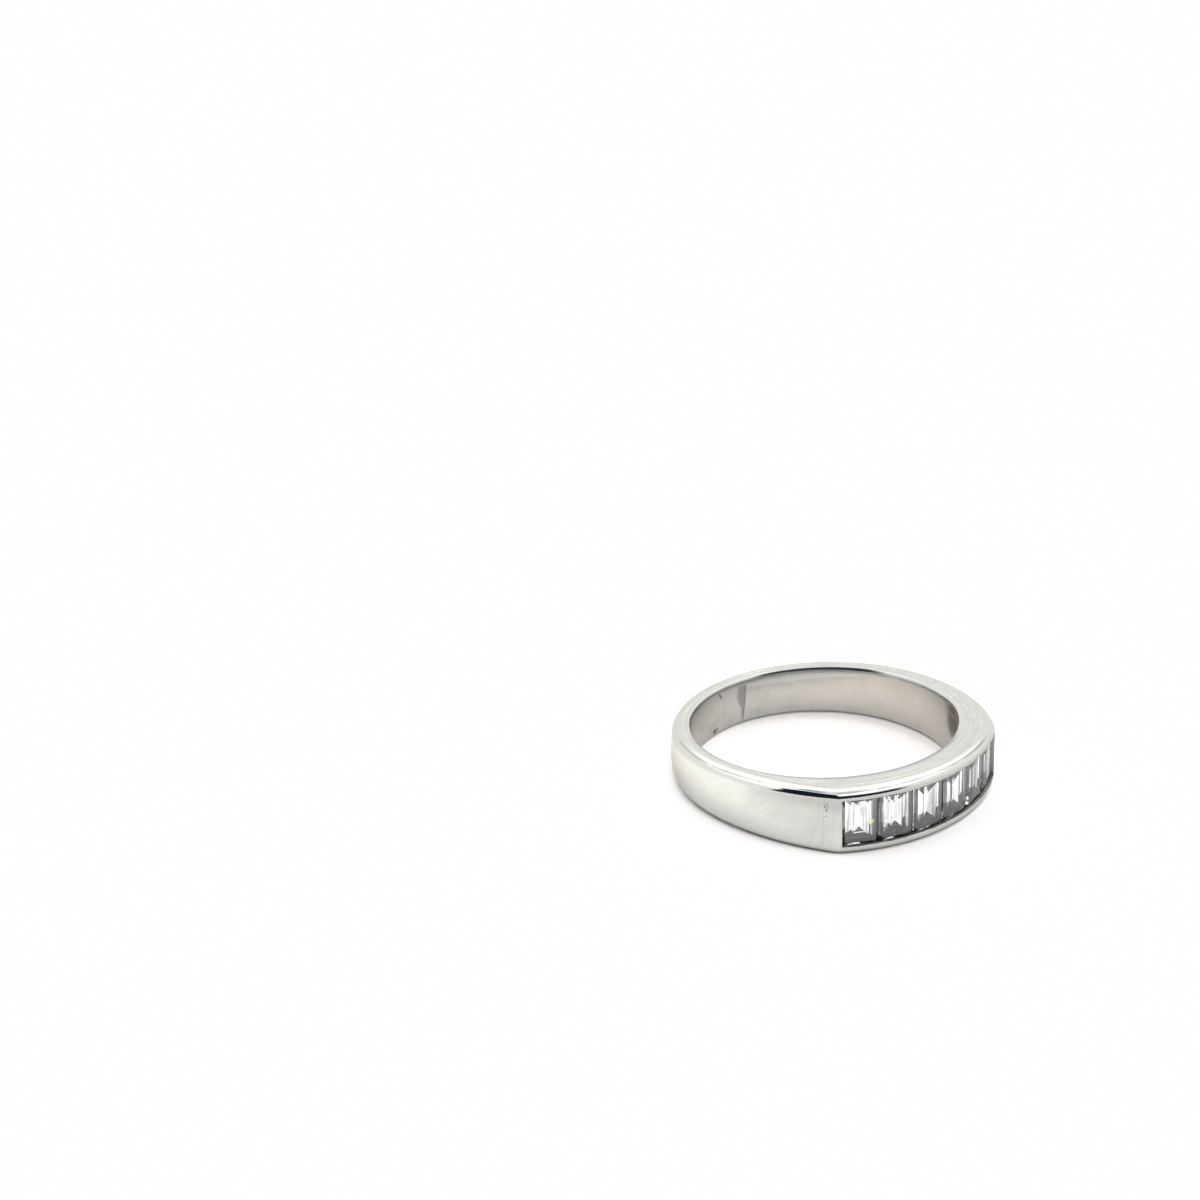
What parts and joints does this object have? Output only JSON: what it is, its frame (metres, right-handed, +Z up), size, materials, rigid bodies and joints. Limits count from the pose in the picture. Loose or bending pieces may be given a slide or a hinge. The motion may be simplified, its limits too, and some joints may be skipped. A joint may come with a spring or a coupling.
{
  "type": "channel set half eternity ring",
  "caption": "Tapered white metal finger ring whose wide head holds a row of baguette cut stones, set edge to edge in a channel between two sharp shoulder corners.",
  "frame": {"origin": "where the axis of the finger hole meets the lower side face, which the ring lies on", "axes": "+Z up, close to the finger hole's axis; the head with its stones faces -Y; the back of the shank is toward +Y"},
  "size_m": [0.0201, 0.0208, 0.0043],
  "materials": {
    "white_metal": "polished white precious metal with fine brush marks",
    "clear_stone": "polished facets of a clear step cut stone"
  },
  "bodies": {
    "root": {"band": "white_metal", "stone_1": "clear_stone", "stone_2": "clear_stone", "stone_3": "clear_stone", "stone_4": "clear_stone", "stone_5": "clear_stone", "stone_6": "clear_stone"}
  },
  "joints": []
}
